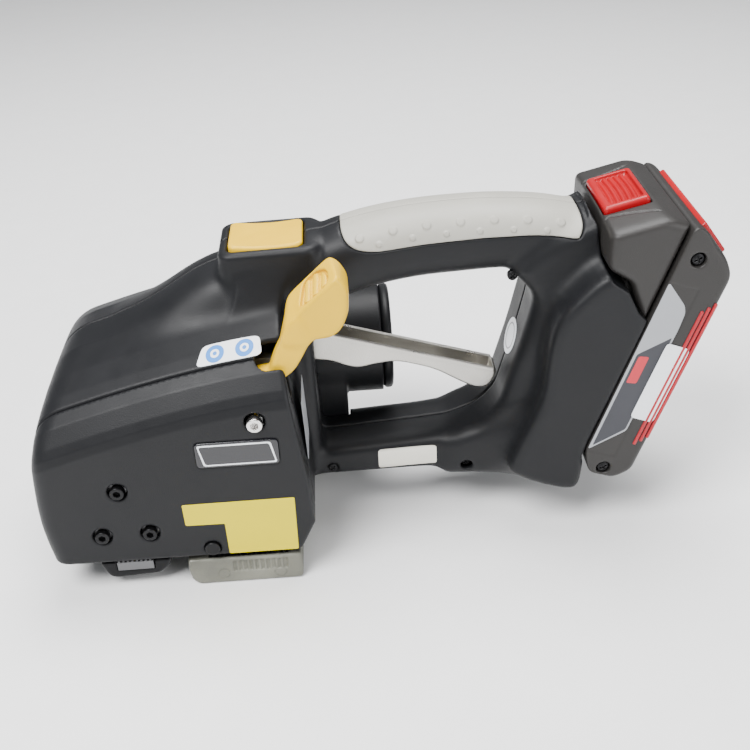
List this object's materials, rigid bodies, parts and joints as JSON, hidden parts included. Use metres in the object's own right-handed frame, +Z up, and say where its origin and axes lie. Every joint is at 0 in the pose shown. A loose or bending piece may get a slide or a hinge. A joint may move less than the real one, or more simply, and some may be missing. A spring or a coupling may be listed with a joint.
{
  "type": "battery strapping tool",
  "caption": "Hand-held battery strapping tool with a tensioning and friction-welding head, D-shaped handle, rocker lever, weld lever and slide-on battery pack.",
  "frame": {"origin": "under the middle of the tool's bounding box, in the plane of the base plate's underside", "axes": "+X from the head towards the battery, +Z up, -Y towards the side that the strap goes in from"},
  "size_m": [0.3006, 0.126, 0.1572],
  "materials": {
    "black_plastic": "fine textured, matte",
    "black_gloss": "semi-gloss",
    "black_steel": "black oxide",
    "bright_steel": "ground bright",
    "tool_steel": "ground",
    "spring_steel": "drawn wire",
    "cast_alloy": "die cast",
    "cast_alloy_base": "cast and ground",
    "yellow_label": "printed film",
    "white_label": "printed film",
    "grey_label": "printed film",
    "silver_label": "brushed foil",
    "grey_grip": "satin soft grip",
    "copper": "wound copper",
    "belt_rubber": "toothed belt",
    "yellow_plastic": "satin moulded",
    "zinc_steel": "zinc plated",
    "board": "solder mask",
    "charcoal_plastic": "fine textured, matte",
    "cell_sleeve": "shrink sleeve",
    "red_plastic": "satin moulded",
    "red_rubber": "satin"
  },
  "bodies": {
    "tool": {"shell_near": "black_plastic", "shell_far": "black_plastic", "side_cover": "black_plastic", "nameplate": "black_gloss", "cover_screws": "black_steel", "adjuster_screw": "bright_steel", "caution_label": "yellow_label", "pictogram_label": "white_label", "grip_near": "grey_grip", "grip_far": "grey_grip", "shell_screws": "black_steel", "frame_label": "silver_label", "column_seal": "white_label", "rear_sticker": "white_label", "gear_housing": "cast_alloy", "base_plate": "cast_alloy_base", "lower_weld_plate": "tool_steel", "base_screws": "bright_steel", "foot_pin": "black_steel", "foot_spring": "spring_steel", "planet_drum": "bright_steel", "shaft_bearings": "bright_steel", "motor_housing": "black_plastic", "motor_cap": "black_plastic", "motor_stator": "tool_steel", "motor_bearings": "bright_steel", "drive_belt": "belt_rubber", "lever_pin": "tool_steel", "button_switch": "black_gloss", "control_board": "board", "terminal_block": "black_gloss"},
    "tension_wheel": {"tension_wheel": "tool_steel", "tension_shaft": "tool_steel", "tension_gear": "tool_steel"},
    "cross_shaft": {"cross_shaft": "tool_steel", "cross_gear": "tool_steel", "bevel_gear": "tool_steel"},
    "bevel_drive": {"bevel_pinion": "tool_steel"},
    "motor_rotor": {"motor_rotor": "copper", "motor_pulley": "cast_alloy"},
    "eccentric": {"eccentric_shaft": "tool_steel", "eccentric_pulley": "cast_alloy"},
    "weld_press": {"weld_shoe": "tool_steel", "cutter": "tool_steel"},
    "weld_lever": {"weld_lever": "yellow_plastic", "weld_shaft": "tool_steel"},
    "rocker_lever": {"rocker_lever": "zinc_steel"},
    "foot": {"foot_arm": "black_steel", "foot_insert": "tool_steel"},
    "tension_button": {"tension_button": "yellow_plastic"},
    "battery": {"battery_case": "charcoal_plastic", "latch_housing": "charcoal_plastic", "battery_cells": "cell_sleeve", "battery_contacts": "copper", "vent_grille": "red_plastic", "side_strips": "red_rubber", "battery_label": "grey_label", "battery_sticker": "white_label", "battery_screws": "black_steel"},
    "release_button": {"release_button": "red_plastic"}
  },
  "joints": [
    {"name": "motor_spin", "type": "hinge", "parent": "tool", "child": "motor_rotor", "pos_m": [0, 0.036, 0.069], "axis": [1, 0, 0], "continuous": true},
    {"name": "bevel_spin", "type": "hinge", "parent": "tool", "child": "bevel_drive", "pos_m": [-0.08, 0.036, 0.069], "axis": [1, 0, 0], "continuous": true},
    {"name": "cross_spin", "type": "hinge", "parent": "tool", "child": "cross_shaft", "pos_m": [-0.10534, 0, 0.069], "axis": [0, 1, 0], "continuous": true},
    {"name": "wheel_spin", "type": "hinge", "parent": "tool", "child": "tension_wheel", "pos_m": [-0.1134, 0, 0.037], "axis": [0, 1, 0], "continuous": true},
    {"name": "eccentric_spin", "type": "hinge", "parent": "tool", "child": "eccentric", "pos_m": [-0.07, -0.047, 0.04], "axis": [1, 0, 0], "continuous": true},
    {"name": "rocker_squeeze", "type": "hinge", "parent": "tool", "child": "rocker_lever", "pos_m": [-0.056, 0, 0.099], "axis": [0, -1, 0], "range_deg": [0, 20], "stiffness_Nm_per_rad": 1.2, "springref_deg": -20.05},
    {"name": "foot_open", "type": "hinge", "parent": "tool", "child": "foot", "pos_m": [-0.0768, 0, 0.021], "axis": [0, -1, 0], "range_deg": [0, 4]},
    {"name": "weld_pull", "type": "hinge", "parent": "tool", "child": "weld_lever", "pos_m": [-0.048, -0.045, 0.096], "axis": [0, 1, 0], "range_deg": [0, 40], "stiffness_Nm_per_rad": 0.25, "springref_deg": -20.05},
    {"name": "weld_press_down", "type": "slide", "parent": "tool", "child": "weld_press", "axis": [0, 0, -1], "range_m": [0, 0.0014]},
    {"name": "tension_press", "type": "slide", "parent": "tool", "child": "tension_button", "axis": [0, 0, -1], "range_m": [0, 0.0025], "stiffness_N_per_m": 900, "springref_m": -0.002},
    {"name": "battery_slide", "type": "slide", "parent": "tool", "child": "battery", "axis": [0.3289, 0, 0.9444], "range_m": [0, 0.13]},
    {"name": "release_press", "type": "slide", "parent": "battery", "child": "release_button", "axis": [0.238, 0, -0.9713], "range_m": [0, 0.003], "stiffness_N_per_m": 700, "springref_m": -0.002}
  ],
  "couplings": [
    {"joint": "bevel_spin", "follows": "motor_spin", "ratio": 0.11111},
    {"joint": "cross_spin", "follows": "motor_spin", "ratio": 0.055556},
    {"joint": "wheel_spin", "follows": "motor_spin", "ratio": -0.055556},
    {"joint": "eccentric_spin", "follows": "motor_spin", "ratio": 1.2857},
    {"joint": "foot_open", "follows": "rocker_squeeze", "ratio": 0.2},
    {"joint": "weld_press_down", "follows": "weld_pull", "m_per_rad": 0.0019}
  ]
}
